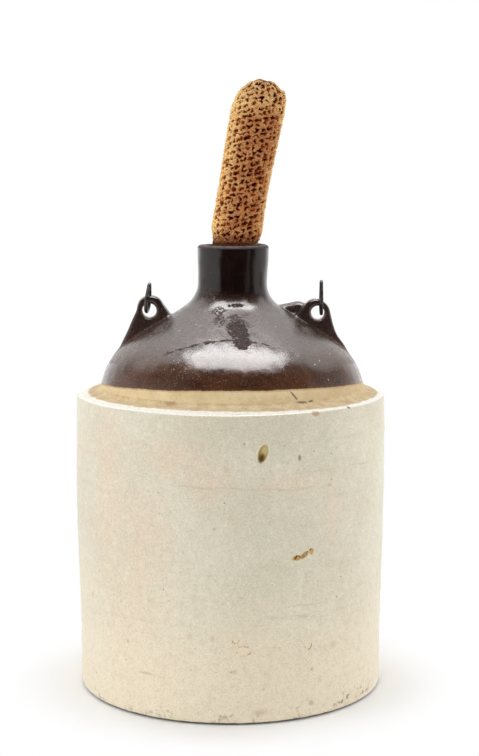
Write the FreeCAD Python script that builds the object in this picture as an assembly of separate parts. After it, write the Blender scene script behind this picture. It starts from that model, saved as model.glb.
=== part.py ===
"""Stoneware shoulder jug with clay ears, wire loops and a corn-cob stopper.

Millimetres, +Z up. The origin is the middle of the jug's flat foot, +X points to the right ear,
and the jug is seen from the front along +Y. The jug is one fired piece: a straight cream body with
a flat shoulder ledge, a brown dome set on it slightly off centre, a short neck, and two pierced
ears, one with a low lump of clay behind it. The stoppered inside is left solid below the mouth.
"""
import FreeCAD, Part
import math
import os

V = FreeCAD.Vector
UP = V(0, 0, 1)
BACK = V(0, 1, 0)

# ---- driving dimensions: body ----------------------------------------------------------------
body_radius = 90.0          # at the shoulder corner, the widest place
body_height = 173.7         # foot to shoulder corner
wall_narrowing = 3.1        # the wall draws in this much towards the foot
foot_round = 2.2            # rounding of the foot edge
corner_round = 1.3          # rounding of the shoulder corner
ledge_width = 12.0          # shoulder corner to the foot of the dome
ledge_rise = 2.6            # the ledge climbs this much towards the dome

# ---- driving dimensions: dome, neck and mouth ------------------------------------------------
top_offset = 1.0            # the dome and neck were joined this far off the body's axis, along X
dome_rise = 46.4            # from the foot of the dome to where the neck's sweep begins
dome_shoulder = 25.7        # length of the outline's handle at the foot of the dome
dome_crown = 31.8           # length of the outline's handle at the top of the dome
shoulder_lean = 9.7         # degrees from upright at the foot of the dome
crown_slope = 32.5          # degrees below level at the top of the dome
neck_radius = 20.3          # at the neck's waist
neck_sweep = 10.7           # how far the sweep at the neck's root spreads beyond the waist
neck_height = 38.3          # top of the dome to the rim
waist_height = 17.0         # top of the dome to the neck's waist
rim_flare = 0.8             # the rim is this much wider than the waist
rim_round = 2.4             # outer rounding of the rim
mouth_radius = 16.0         # bore at the rim
mouth_round = 1.2           # inner rounding of the rim
throat_radius = 13.7        # bore at its floor
throat_depth = 28.0         # rim to the floor of the bore

# ---- driving dimensions: ears ----------------------------------------------------------------
ear_thickness = 9.0
ear_round = 2.0             # rounding of the ear's rims
ear_reach = 49.2            # dome axis to the middle of the ear's round head
ear_head_radius = 8.3
ear_stand = 9.0             # head's middle above the dome's surface under it
ear_length_in = 13.8        # head's middle to the inner toe of the ear
ear_length_out = 20.0       # head's middle to the outer toe of the ear
ear_toe_bury = 2.0          # the toes reach this far under the dome's surface
slab_root = 6.0             # clay of an ear or a web inside the dome, below its toes
ear_eye_radius = 4.1        # the hole for the wire
ear_eye_round = 0.9         # rounding of the hole's rims
right_eye_shift = 1.2       # hole's middle outward from the head's middle
right_eye_lift = 0.3
left_head_shift = -1.0      # the left ear's head lies inward of the right one's
left_head_lift = 2.0
left_eye_shift = 0.6
left_eye_lift = -0.5
web_depth = 12.5            # the lump of clay behind the right ear, from the ear's middle plane
web_round = 3.0
web_reach = 39.0            # dome axis to the middle of the lump's rounded end
web_radius = 7.4            # radius of the lump's rounded end
web_drop = 1.1              # the lump's end lies this far below the middle of the ear's head

# ---- driving dimensions: wire loops ----------------------------------------------------------
wire_radius = 1.0
wire_clearance = 0.6        # between a wire and the outer wall of its hole
right_loop_height = 20.9     # over the wire
left_loop_height = 18.4
loop_tip_radius = 1.7       # bend at the pointed top, on the wire's axis
loop_face_clearance = 0.7   # between the wire and the ear's faces
loop_sag = 1.75             # the loops' lowest wire lies this far below the hole's middle
left_loop_yaw = -7.0        # degrees the left loop is turned about the vertical
left_loop_lean = 6.0        # degrees the left loop leans towards the neck

# ---- driving dimensions: corn cob ------------------------------------------------------------
cob_radius = 14.3
cob_length = 125.0          # along the bent axis, from the floor of the bore
cob_foot_offset = 2.4       # the plug's end lies this far to -X of the bore's axis
cob_first_lean = 7.2        # degrees from upright at the floor of the bore, towards +X
cob_bend_radius = 1400.0    # the cob's axis bends over to +X
plug_clearance = 0.35       # between the whittled plug and the bore
plug_shoulder = 7.0         # length over which the plug swells to the full cob
cob_tip_length = 11.0       # length of the rounded, broken tip
cob_tip_slant = 0.45        # the tip is this share longer on the -X side, and shorter on the +X side
cupule_columns = 16         # kernel sockets round the cob
cupule_pitch = 3.7          # socket spacing along the cob
cupule_depth = 1.1
points_per_cupule = 3       # facets across one socket, round the cob
rings_per_cupule = 2        # facets along one socket
swell_height = 0.35         # slow unevenness of the cob

# ---- places worked out from the sizes --------------------------------------------------------
foot_radius = body_radius - wall_narrowing
dome_foot_radius = body_radius - ledge_width
dome_foot_z = body_height + ledge_rise
crown_radius = neck_radius + neck_sweep
crown_z = dome_foot_z + dome_rise
waist_z = crown_z + waist_height
rim_z = crown_z + neck_height
rim_radius = neck_radius + rim_flare
throat_z = rim_z - throat_depth


def polar(length, degrees):
    """Point at a distance and an angle above level in the X-Z plane."""
    turn = math.radians(degrees)
    return V(length * math.cos(turn), 0, length * math.sin(turn))


def curve(*poles):
    """Edge along a Bezier curve."""
    bezier = Part.BezierCurve()
    bezier.setPoles(list(poles))
    return bezier.toShape()


def line(start, end):
    return Part.makeLine(start, end)


def spin(edges, axis_x=0.0):
    """Solid of revolution of a closed outline in the X-Z plane, about an upright axis."""
    face = Part.Face(Part.Wire(edges))
    solid = face.revolve(V(0, 0, 0), UP, 360)
    solid.translate(V(axis_x, 0, 0))
    return solid


def rounded(solid, radius, keep):
    """Fillet the edges for which keep(edge) is true."""
    return solid.makeFillet(radius, [edge for edge in solid.Edges if keep(edge)])


def circle_at(radius, height):
    """Test for a full circle about an upright axis at this radius and height."""
    def test(edge):
        round_edge = isinstance(edge.Curve, Part.Circle)
        return (round_edge and abs(edge.Curve.Radius - radius) < 0.01
                and abs(edge.Curve.Center.z - height) < 0.01)
    return test


# ---- jug -------------------------------------------------------------------------------------

def body():
    """Straight wall with a slight flare above its lower third, closed by the sloping ledge."""
    straight_z = 0.35 * body_height
    corner = V(body_radius, 0, body_height)
    wall_foot = V(foot_radius, 0, straight_z)
    flare = curve(wall_foot,
                  V(foot_radius + 0.10 * wall_narrowing, 0, 0.51 * body_height),
                  V(body_radius - 0.22 * wall_narrowing, 0, 0.68 * body_height),
                  corner)
    ledge_slope = ledge_rise / ledge_width
    middle = V(0, 0, body_height + ledge_slope * body_radius)
    solid = spin([line(V(0, 0, 0), V(foot_radius, 0, 0)),
                  line(V(foot_radius, 0, 0), wall_foot),
                  flare,
                  line(corner, middle),
                  line(middle, V(0, 0, 0))])
    solid = rounded(solid, foot_round, circle_at(foot_radius, 0))
    return rounded(solid, corner_round, circle_at(body_radius, body_height))


def dome_poles():
    """Bezier poles of the dome's outline, from its foot to its crown."""
    foot = V(dome_foot_radius, 0, dome_foot_z)
    crown = V(crown_radius, 0, crown_z)
    return [foot,
            foot + polar(dome_shoulder, 90 + shoulder_lean),
            crown + polar(dome_crown, -crown_slope),
            crown]


def dome_and_neck():
    """Hand-thrown top: dome, swept neck root and a neck that flares a little to the rim."""
    poles = dome_poles()
    foot, crown = poles[0], poles[-1]
    buried = V(dome_foot_radius, 0, body_height - ledge_width)
    waist = V(neck_radius, 0, waist_z)
    sweep = curve(crown,
                  crown + polar(0.72 * neck_sweep, 180 - crown_slope),
                  waist - UP * 0.62 * waist_height,
                  waist)
    rim = V(rim_radius, 0, rim_z)
    neck = curve(waist, waist + UP * 0.3 * (rim_z - waist_z), rim - UP * 0.4 * (rim_z - waist_z), rim)
    solid = spin([line(V(0, 0, buried.z), buried),
                  line(buried, foot),
                  curve(*poles),
                  sweep,
                  neck,
                  line(rim, V(0, 0, rim_z)),
                  line(V(0, 0, rim_z), V(0, 0, buried.z))])
    return rounded(solid, rim_round, circle_at(rim_radius, rim_z))


def dome_height_at(radius):
    """Height of the dome's surface at a distance from its axis."""
    bezier = Part.BezierCurve()
    bezier.setPoles(dome_poles())
    low, high = 0.0, 1.0
    for _ in range(40):
        middle = (low + high) / 2
        if bezier.value(middle).x > radius:
            low = middle
        else:
            high = middle
    return bezier.value(low).z


def ear_head_z():
    """Height of the middle of the ears' round heads."""
    return dome_height_at(ear_reach) + ear_stand


def slab(exposed, front_y, back_y, radius):
    """Upright slab under an open X-Z outline, with the rims of that outline rounded."""
    start = exposed[0].firstVertex(True).Point
    end = exposed[-1].lastVertex(True).Point
    root = UP * -slab_root
    buried = [line(end, end + root), line(end + root, start + root), line(start + root, start)]
    face = Part.Face(Part.Wire(exposed + buried))
    face.translate(V(0, front_y, 0))
    solid = face.extrude(V(0, back_y - front_y, 0))

    def on_an_open_rim(edge):
        ends = [vertex.Point for vertex in edge.Vertexes]
        along = abs(ends[0].y - ends[-1].y) < 1e-6
        roots = (start + root, end + root)
        deep = any(abs(p.x - q.x) + abs(p.z - q.z) < 1e-6 for p in ends for q in roots)
        return along and not deep
    return rounded(solid, radius, on_an_open_rim)


def head_outline(middle, radius, toe_in, toe_out):
    """Straight inner edge tangent to a round head, then an edge that sweeps out to the toe."""
    away = toe_in - middle
    tangent = math.atan2(away.z, away.x) - math.acos(radius / away.Length)
    touch = middle + V(radius * math.cos(tangent), 0, radius * math.sin(tangent))
    top = middle + UP * radius
    side = middle + polar(radius, 8)
    drop = side.z - toe_out.z
    sweep = curve(side,
                  side + polar(0.25 * drop, -82),
                  toe_out - polar(0.36 * drop, -66),
                  toe_out)
    return [line(toe_in, touch),
            Part.Arc(touch, top, side).toShape(),
            sweep]


def ear_head(side):
    """Middle of an ear's round head, as if both stood on the right of the dome's own axis."""
    if side > 0:
        return V(ear_reach, 0, ear_head_z())
    return V(ear_reach + left_head_shift, 0, ear_head_z() + left_head_lift)


def ear_eye(side):
    """Middle of the ear's hole on the right (side 1) or the left (side -1)."""
    head = ear_head(side)
    shift = right_eye_shift if side > 0 else left_eye_shift
    lift = right_eye_lift if side > 0 else left_eye_lift
    return V(top_offset + side * (head.x + shift), 0, head.z + lift)


def on_dome(radius, bury):
    """Point under the dome's surface, on the right side of the dome's own axis."""
    return V(radius, 0, dome_height_at(radius) - bury)


def ear(side):
    """Pierced clay tab standing on the dome in the X-Z plane."""
    outline = head_outline(ear_head(side), ear_head_radius,
                           on_dome(ear_reach - ear_length_in, ear_toe_bury),
                           on_dome(ear_reach + ear_length_out, ear_toe_bury))
    solid = slab(outline, -ear_thickness / 2, ear_thickness / 2, ear_round)
    if side < 0:
        solid.rotate(V(0, 0, 0), UP, 180)
    solid.translate(V(top_offset, 0, 0))
    return solid


def web():
    """Low lump of clay behind the right ear, running from the neck's root to the ear's head."""
    middle = V(web_reach, 0, ear_head_z() - web_drop)
    outline = head_outline(middle, web_radius,
                           V(neck_radius, 0, crown_z + 0.5 * ear_toe_bury),
                           on_dome(web_reach + ear_length_in, ear_toe_bury))
    solid = slab(outline, 0, web_depth, web_round)
    solid.translate(V(top_offset, 0, 0))
    return solid


def eye_cutter(side):
    """Drill for the ear's hole, spread at both faces to round the rims."""
    reach = ear_thickness / 2
    edge = ear_eye_radius + ear_eye_round
    half = [line(V(0, 0, 0), V(0, 0, 2 * reach)),
            line(V(0, 0, 2 * reach), V(edge, 0, 2 * reach)),
            line(V(edge, 0, 2 * reach), V(edge, 0, reach)),
            Part.Arc(V(edge, 0, reach),
                     V(edge, 0, reach - ear_eye_round) + polar(ear_eye_round, 135),
                     V(ear_eye_radius, 0, reach - ear_eye_round)).toShape(),
            line(V(ear_eye_radius, 0, reach - ear_eye_round), V(ear_eye_radius, 0, 0)),
            line(V(ear_eye_radius, 0, 0), V(0, 0, 0))]
    drill = spin(half)
    drill = drill.fuse(drill.mirror(V(0, 0, 0), UP)).removeSplitter()
    drill.rotate(V(0, 0, 0), V(1, 0, 0), -90)
    drill.translate(ear_eye(side))
    return drill


def mouth_cutter():
    """Tapered bore with a rounded mouth, closed by the floor that carries the stopper."""
    lip = V(mouth_radius + mouth_round, 0, rim_z)
    mouth = V(mouth_radius, 0, rim_z - mouth_round)
    over = UP * rim_round
    bend = V(lip.x, 0, mouth.z) + polar(mouth_round, 135)
    floor = V(throat_radius, 0, throat_z)
    return spin([line(V(0, 0, throat_z), floor),
                 line(floor, mouth),
                 Part.Arc(mouth, bend, lip).toShape(),
                 line(lip, lip + over),
                 line(lip + over, V(0, 0, rim_z) + over),
                 line(V(0, 0, rim_z) + over, V(0, 0, throat_z))], top_offset)


def jug():
    """The whole fired piece as one solid."""
    solid = body().fuse([dome_and_neck(), ear(1), ear(-1), web()])
    return solid.cut([eye_cutter(1), eye_cutter(-1), mouth_cutter()]).removeSplitter()


# ---- wire loops ------------------------------------------------------------------------------

def loop_path(height):
    """Teardrop in the Y-Z plane, with the middle of its round bottom at the origin."""
    round_radius = ear_thickness / 2 + loop_face_clearance + wire_radius
    tip_z = height - 2 * wire_radius - round_radius - loop_tip_radius
    spread = math.asin((round_radius - loop_tip_radius) / tip_z)
    out = V(0, math.cos(spread), math.sin(spread))
    left_out = V(0, -out.y, out.z)
    tip = V(0, 0, tip_z)
    low, high = out * round_radius, tip + out * loop_tip_radius
    left_low, left_high = left_out * round_radius, tip + left_out * loop_tip_radius
    edges = [Part.Arc(left_low, UP * -round_radius, low).toShape(),
             line(low, high),
             Part.Arc(high, tip + UP * loop_tip_radius, left_high).toShape(),
             line(left_high, left_low)]
    return Part.Wire(edges), round_radius


def wire_loop(side, height, yaw, lean):
    """Closed loop of wire through an ear's hole, standing against the hole's outer wall."""
    path, round_radius = loop_path(height)
    section = Part.Wire(Part.makeCircle(wire_radius, UP * -round_radius, BACK))
    solid = path.makePipeShell([section], True, True)
    eye = ear_eye(side)
    wall = math.sqrt(ear_eye_radius ** 2 - loop_sag ** 2)
    inset = wall - wire_radius - wire_clearance
    turning = 0.5 * ear_thickness * math.tan(math.radians(abs(yaw)))
    bottom = V(side * (inset - turning) + eye.x, 0, eye.z - loop_sag + wire_radius)
    solid.translate(UP * round_radius)
    solid.rotate(V(0, 0, 0), UP, yaw)
    solid.rotate(V(0, 0, 0), BACK, -side * lean)
    solid.translate(bottom)
    return solid


# ---- corn cob --------------------------------------------------------------------------------

def cob_axis(reach):
    """Point on the bent axis and the lean there, at a distance along it from the plug's end."""
    first = math.radians(cob_first_lean)
    lean = first + reach / cob_bend_radius
    sideways = cob_bend_radius * (math.cos(first) - math.cos(lean))
    upward = cob_bend_radius * (math.sin(lean) - math.sin(first))
    return V(top_offset - cob_foot_offset + sideways, 0, throat_z + upward), lean


def bore_radius_at(height):
    """Radius of the tapered bore at a height, which stays the mouth's from its rounding up."""
    share = min(1.0, (height - throat_z) / (rim_z - mouth_round - throat_z))
    return throat_radius + share * (mouth_radius - throat_radius)


def plug_length():
    """Length of the plug, whose leaning side still clears the rim before the cob swells."""
    _, lean = cob_axis(throat_depth)
    return throat_depth + mouth_radius * math.sin(lean)


def plug_radius_at(reach):
    """The plug clears the bore by the plug clearance on the side that it leans to."""
    point, lean = cob_axis(reach)
    return bore_radius_at(point.z) / math.cos(lean) - abs(point.x - top_offset) - plug_clearance


def smooth(share):
    share = min(max(share, 0.0), 1.0)
    return share * share * (3 - 2 * share)


def cob_radius_at(reach, turn):
    """Radius without sockets: plug, swelling to the cob, slow unevenness, rounded tip."""
    plug = min(plug_radius_at(min(reach, plug_length())), 0.9 * cob_radius)
    swell = swell_height * math.sin(reach / 13.0) + swell_height * smooth(reach / cob_length)
    full = cob_radius + swell
    radius = plug + (full - plug) * smooth((reach - plug_length()) / plug_shoulder)
    tip_length = cob_tip_length * (1 - cob_tip_slant * math.cos(turn))
    into_tip = max(0.0, (reach - cob_length + tip_length) / tip_length)
    return radius * (1 - into_tip ** 2.6) ** 0.5


def socket_depth(reach, turn):
    """Kernel sockets in staggered columns, fading out at the plug and at the broken tip."""
    row = (reach - throat_depth) / cupule_pitch
    column = turn / (2 * math.pi) * cupule_columns
    stagger = 0.5 * (math.floor(column + 1e-6) % 2)
    along = 0.5 + 0.5 * math.cos(2 * math.pi * (row + stagger))
    across = math.sin(math.pi * (column % 1.0)) ** 2
    start = smooth((reach - throat_depth) / plug_shoulder)
    end = smooth((cob_length - reach) / cob_tip_length + 0.3)
    return cupule_depth * along * (0.25 + 0.75 * across) * start * end


def broken_tip(turn, share):
    """Uneven height of the broken end."""
    return share * (0.8 * math.sin(2 * turn + 0.7) + 0.5 * math.sin(5 * turn))


def cob_rings():
    """Rings of points: a few along the plug, then one or two for every socket, then the tip."""
    step = cupule_pitch / rings_per_cupule
    plug_rings = [0.0, 0.35 * throat_depth, 0.7 * throat_depth, throat_depth]
    socket_rings = int((cob_length - throat_depth - 0.3 * step) / step)
    reaches = plug_rings + [throat_depth + step * (i + 1) for i in range(socket_rings)]
    around = cupule_columns * points_per_cupule
    rings = []
    for reach in reaches:
        point, lean = cob_axis(reach)
        if reach == 0.0:
            lean = 0.0
        sideways = V(math.cos(lean), 0, -math.sin(lean))
        forward = V(math.sin(lean), 0, math.cos(lean))
        near_tip = smooth((reach - cob_length + cob_tip_length) / cob_tip_length)
        ring = []
        for i in range(around):
            turn = 2 * math.pi * (i + 0.5) / around
            radius = cob_radius_at(reach, turn) - socket_depth(reach, turn)
            out = sideways * math.cos(turn) + BACK * math.sin(turn)
            ring.append(point + out * radius + forward * broken_tip(turn, near_tip))
        rings.append(ring)
    return rings


def corn_cob():
    """Faceted cob: rings of points joined by triangles, closed at the plug and at the tip."""
    rings = cob_rings()
    around = len(rings[0])
    bottom, _ = cob_axis(0.0)
    top, _ = cob_axis(cob_length)
    points = [point for ring in rings for point in ring] + [bottom, top]
    last = (len(rings) - 1) * around
    triangles = []
    for i in range(around):
        after = (i + 1) % around
        triangles.append((len(points) - 2, after, i))
        triangles.append((len(points) - 1, last + i, last + after))
        for base in range(0, last, around):
            a, b = base + i, base + after
            c, d = a + around, b + around
            triangles += [(a, b, d), (a, d, c)]
    shell = Part.Shape()
    shell.makeShapeFromMesh((points, triangles), 0.001)
    return Part.Solid(shell)


# ---- build -----------------------------------------------------------------------------------

nodes = {
    "stoneware_jug": jug(),
    "wire_loop_right": wire_loop(1, right_loop_height, 0.0, 0.0),
    "wire_loop_left": wire_loop(-1, left_loop_height, left_loop_yaw, left_loop_lean),
    "corn_cob_stopper": corn_cob(),
}

os.makedirs("parts", exist_ok=True)
for name, shape in nodes.items():
    box = shape.BoundBox
    print(name, "valid", shape.isValid(), "solids", len(shape.Solids), "faces", len(shape.Faces),
          "volume %.0f" % shape.Volume, "box x %.1f..%.1f y %.1f..%.1f z %.1f..%.1f"
          % (box.XMin, box.XMax, box.YMin, box.YMax, box.ZMin, box.ZMax))
    shape.exportStep("parts/%s.step" % name)
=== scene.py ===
import math

import bmesh
import bpy
import numpy as np
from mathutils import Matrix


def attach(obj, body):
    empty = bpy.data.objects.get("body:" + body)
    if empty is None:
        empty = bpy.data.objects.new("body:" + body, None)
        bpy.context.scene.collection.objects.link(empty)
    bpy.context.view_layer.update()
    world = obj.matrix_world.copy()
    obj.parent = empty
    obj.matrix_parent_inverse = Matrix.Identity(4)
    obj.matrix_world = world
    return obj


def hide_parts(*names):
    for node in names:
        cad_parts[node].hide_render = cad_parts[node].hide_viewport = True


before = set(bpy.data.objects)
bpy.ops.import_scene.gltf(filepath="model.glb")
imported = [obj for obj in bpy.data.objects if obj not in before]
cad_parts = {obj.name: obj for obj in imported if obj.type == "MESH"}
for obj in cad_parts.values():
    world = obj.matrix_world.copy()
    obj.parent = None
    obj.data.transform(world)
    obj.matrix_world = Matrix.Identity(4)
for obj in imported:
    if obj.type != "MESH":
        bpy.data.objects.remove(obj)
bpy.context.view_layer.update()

MM = 0.001  # scene units are metres; every size below is in millimetres

# ---- sizes of the jug, as built in CAD but for the fired wall and the neck's sweep
BODY_RADIUS = 90.0
BODY_HEIGHT = 173.7
SHOULDER_RADIUS = 90.8  # fired wall: hardly flared, with a slight belly
FOOT_RADIUS = 89.6
FOOT_ROUND = 2.2
CORNER_ROUND = 1.7
LEDGE_WIDTH = 12.0
LEDGE_RISE = 2.6
TOP_OFFSET = 1.0
DOME_RISE = 46.4
DOME_SHOULDER = 25.7
DOME_CROWN = 31.8
SHOULDER_LEAN = 9.7
CROWN_SLOPE = 32.5
NECK_RADIUS = 20.3
NECK_SWEEP = 10.7
NECK_HEIGHT = 38.3
WAIST_HEIGHT = 17.0
SWEEP_LOW_PULL = 1.10  # how far the sweep's two handles reach, as shares of the
SWEEP_HIGH_PULL = 0.27  # neck's sweep and of the waist's height
RIM_RADIUS = NECK_RADIUS + 0.8
RIM_ROUND = 2.4
MOUTH_RADIUS = 16.0
MOUTH_ROUND = 1.2
THROAT_RADIUS = 13.7
THROAT_DEPTH = 28.0

DOME_FOOT_RADIUS = BODY_RADIUS - LEDGE_WIDTH
DOME_FOOT_Z = BODY_HEIGHT + LEDGE_RISE
CROWN_RADIUS = NECK_RADIUS + NECK_SWEEP
CROWN_Z = DOME_FOOT_Z + DOME_RISE
WAIST_Z = CROWN_Z + WAIST_HEIGHT
RIM_Z = CROWN_Z + NECK_HEIGHT
THROAT_Z = RIM_Z - THROAT_DEPTH

EAR_THICKNESS = 9.0
EAR_ROUND = 2.0
EAR_REACH = 49.2
EAR_HEAD_RADIUS = 8.3
EAR_STAND = 9.0
EAR_LENGTH_IN = 13.8
EAR_LENGTH_OUT = 20.0
EAR_TOE_BURY = 2.0
EYE_RADIUS = 4.1
HEAD_SHIFT = {1: 0.0, -1: -1.0}
HEAD_LIFT = {1: 0.0, -1: 2.0}
EYE_SHIFT = {1: 1.2, -1: 0.6}
EYE_LIFT = {1: 0.3, -1: -0.5}
WEB_DEPTH = 12.5
WEB_ROUND = 3.0
WEB_REACH = 39.0
WEB_RADIUS = 7.4
WEB_DROP = 1.1

COB_RADIUS = 14.3
COB_LENGTH = 125.0
COB_FOOT_OFFSET = 2.4
COB_FIRST_LEAN = math.radians(7.2)
COB_BEND_RADIUS = 1400.0
PLUG_CLEARANCE = 0.35
PLUG_SHOULDER = 7.0
COB_TIP_LENGTH = 11.0
COB_TIP_MIDDLE = 1.36  # the tip is longest on the left, in shares of its length
COB_TIP_SLANT = 0.44


# ---- small tools

def srgb(red, green, blue):
    """Linear colour with alpha from 0-255 screen values."""
    def linear(value):
        value /= 255
        return value / 12.92 if value <= 0.04045 else ((value + 0.055) / 1.055) ** 2.4
    return (linear(red), linear(green), linear(blue), 1.0)


def bezier(poles, count=40):
    """Points along a cubic Bezier curve."""
    t = np.linspace(0, 1, count)[:, None]
    a, b, c, d = (np.array(pole, float) for pole in poles)
    return (1 - t) ** 3 * a + 3 * (1 - t) ** 2 * t * b + 3 * (1 - t) * t * t * c + t ** 3 * d


def polar(length, degrees):
    turn = math.radians(degrees)
    return np.array([length * math.cos(turn), length * math.sin(turn)])


def arc(centre, radius, start, end, count=10):
    """Points of an arc, angles in degrees."""
    turns = np.radians(np.linspace(start, end, count))
    return np.array(centre) + radius * np.stack([np.cos(turns), np.sin(turns)], 1)


def smooth(share):
    share = np.clip(share, 0.0, 1.0)
    return share * share * (3 - 2 * share)


def waves(points, size, seed, count=10):
    """Soft noise from -1 to 1: a sum of sine waves about `size` long in seeded directions."""
    random = np.random.default_rng(seed)
    total = np.zeros(len(points))
    for _ in range(count):
        direction = random.normal(size=3)
        direction *= 2 * math.pi / size / np.linalg.norm(direction) * random.uniform(0.6, 1.6)
        total += np.sin(points @ direction + random.uniform(0, 2 * math.pi))
    return total / math.sqrt(count)


def hash_cells(column, row, salt):
    """Repeatable random number from 0 to 1 for each cell of a grid."""
    mixed = np.sin(column * 127.1 + row * 311.7 + salt * 74.7) * 43758.5453
    return mixed - np.floor(mixed)


def placed(name, data):
    """New object in the scene."""
    made = bpy.data.objects.new(name, data)
    bpy.context.scene.collection.objects.link(made)
    return made


def new_piece(name, points, faces, material, replaced):
    """Smooth-shaded mesh piece from points in millimetres."""
    mesh = bpy.data.meshes.new(name)
    mesh.from_pydata((np.asarray(points) * MM).tolist(), [], faces)
    mesh.validate()
    mesh.polygons.foreach_set("use_smooth", [True] * len(mesh.polygons))
    mesh.update()
    piece = placed(name, mesh)
    mesh.materials.append(material)
    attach(piece, "root")
    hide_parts(replaced)
    return piece


def grid_faces(rows, columns):
    """Quads of a closed-round grid whose rows go up, seen from outside, with a cap at each end."""
    faces = []
    for row in range(rows - 1):
        for column in range(columns):
            after = (column + 1) % columns
            low, high = row * columns, (row + 1) * columns
            faces.append((low + column, low + after, high + after, high + column))
    faces.append(tuple(reversed(range(columns))))
    last = (rows - 1) * columns
    faces.append(tuple(range(last, last + columns)))
    return faces


def store_mask(piece, name, values):
    """Mask on a mesh's points, for Shader.mark."""
    stored = piece.data.attributes.new(name, "FLOAT", "POINT")
    stored.data.foreach_set("value", values.astype(np.float32))


# ---- outlines

def dome_line():
    foot = np.array([DOME_FOOT_RADIUS, DOME_FOOT_Z])
    crown = np.array([CROWN_RADIUS, CROWN_Z])
    return bezier([foot, foot + polar(DOME_SHOULDER, 90 + SHOULDER_LEAN),
                   crown + polar(DOME_CROWN, -CROWN_SLOPE), crown], 70)


def dome_height_at(radius):
    line = dome_line()
    return float(np.interp(radius, line[::-1, 0], line[::-1, 1]))


def top_line():
    """Outline of dome, neck, rim and bore, from under the ledge round to the bore's floor."""
    crown = np.array([CROWN_RADIUS, CROWN_Z])
    waist = np.array([NECK_RADIUS, WAIST_Z])
    rim = np.array([RIM_RADIUS, RIM_Z])
    rise = RIM_Z - WAIST_Z
    sweep = bezier([crown, crown + polar(SWEEP_LOW_PULL * NECK_SWEEP, 180 - CROWN_SLOPE),
                    waist - (0, SWEEP_HIGH_PULL * WAIST_HEIGHT), waist])
    neck = bezier([waist, waist + (0, 0.3 * rise), rim - (0, 0.4 * rise), rim])
    neck = neck[neck[:, 1] < RIM_Z - RIM_ROUND]
    outer = arc((RIM_RADIUS - RIM_ROUND, RIM_Z - RIM_ROUND), RIM_ROUND, 0, 90)
    inner = arc((MOUTH_RADIUS + MOUTH_ROUND, RIM_Z - MOUTH_ROUND), MOUTH_ROUND, 90, 180, 6)
    return np.concatenate([[(DOME_FOOT_RADIUS, DOME_FOOT_Z - 14)], dome_line(), sweep[1:], neck[1:],
                           outer, inner, [(THROAT_RADIUS, THROAT_Z), (0, THROAT_Z)]])


def head_line(middle, radius, toe_in, toe_out):
    """Ear outline: straight inner edge, round head, edge sweeping out to the toe, buried root."""
    away = toe_in - middle
    tangent = math.atan2(away[1], away[0]) - math.acos(radius / math.hypot(*away))
    side = middle + polar(radius, 8)
    drop = side[1] - toe_out[1]
    head = arc(middle, radius, math.degrees(tangent) % 360, 8, 30)
    sweep = bezier([side, side + polar(0.25 * drop, -82), toe_out - polar(0.36 * drop, -66), toe_out])
    root = np.array([0, -8])
    return np.concatenate([[toe_in], head, sweep[1:], [toe_out + root, toe_in + root]])


def on_dome(radius):
    return np.array([radius, dome_height_at(radius) - EAR_TOE_BURY])


def ear_head_z():
    return dome_height_at(EAR_REACH) + EAR_STAND


def ear_head(side):
    """Middle of an ear's round head, as if both stood on the right of the dome's own axis."""
    return np.array([EAR_REACH + HEAD_SHIFT[side], ear_head_z() + HEAD_LIFT[side]])


def ear_eye(side):
    return ear_head(side) + (EYE_SHIFT[side], EYE_LIFT[side])


def ear_line(side):
    return head_line(ear_head(side), EAR_HEAD_RADIUS,
                     on_dome(EAR_REACH - EAR_LENGTH_IN), on_dome(EAR_REACH + EAR_LENGTH_OUT))


def web_line():
    return head_line(np.array([WEB_REACH, ear_head_z() - WEB_DROP]), WEB_RADIUS,
                     np.array([NECK_RADIUS, CROWN_Z + 0.5 * EAR_TOE_BURY]),
                     on_dome(WEB_REACH + EAR_LENGTH_IN))


# ---- distance functions of the jug's top

def outline_distance(across, up, line, closing):
    """Signed distance to a line in a plane, negative inside the shape closed by `closing`."""
    nearest = np.full(len(across), 1e9)
    for start, end in zip(line[:-1], line[1:]):
        edge = end - start
        length = edge @ edge
        if length < 1e-12:
            continue
        px, py = across - start[0], up - start[1]
        share = np.clip((px * edge[0] + py * edge[1]) / length, 0, 1)
        nearest = np.minimum(nearest, (px - share * edge[0]) ** 2 + (py - share * edge[1]) ** 2)
    inside = np.zeros(len(across), bool)
    shape = np.concatenate([line, closing, line[:1]])
    for start, end in zip(shape[:-1], shape[1:]):
        if start[1] == end[1]:
            continue
        crosses = (start[1] > up) != (end[1] > up)
        at = start[0] + (up - start[1]) / (end[1] - start[1]) * (end[0] - start[0])
        inside ^= crosses & (across < at)
    return np.sqrt(nearest) * np.where(inside, -1, 1)


def smooth_min(a, b, blend):
    share = np.clip(0.5 + 0.5 * (b - a) / blend, 0, 1)
    return b * (1 - share) + a * share - blend * share * (1 - share)


def smooth_max(a, b, blend):
    return -smooth_min(-a, -b, blend)


def slab_distance(points, line, half, radius, middle_y):
    """Signed distance to an upright slab of an X-Z outline with rounded rims."""
    flat = outline_distance(points[:, 0], points[:, 2], line, line[:1]) + radius
    deep = np.abs(points[:, 1] - middle_y) - half + radius
    outside = np.hypot(np.maximum(flat, 0), np.maximum(deep, 0))
    return np.minimum(np.maximum(flat, deep), 0) + outside - radius


TOP_LINE = top_line()
EAR_LINES = {side: ear_line(side) for side in (1, -1)}
WEB_LINE = web_line()
CLAY_BLEND = 1.8  # the thumbed fillet where an ear meets the dome
EYE_BLEND = 2.2  # rounding of the eyes' rims


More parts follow.
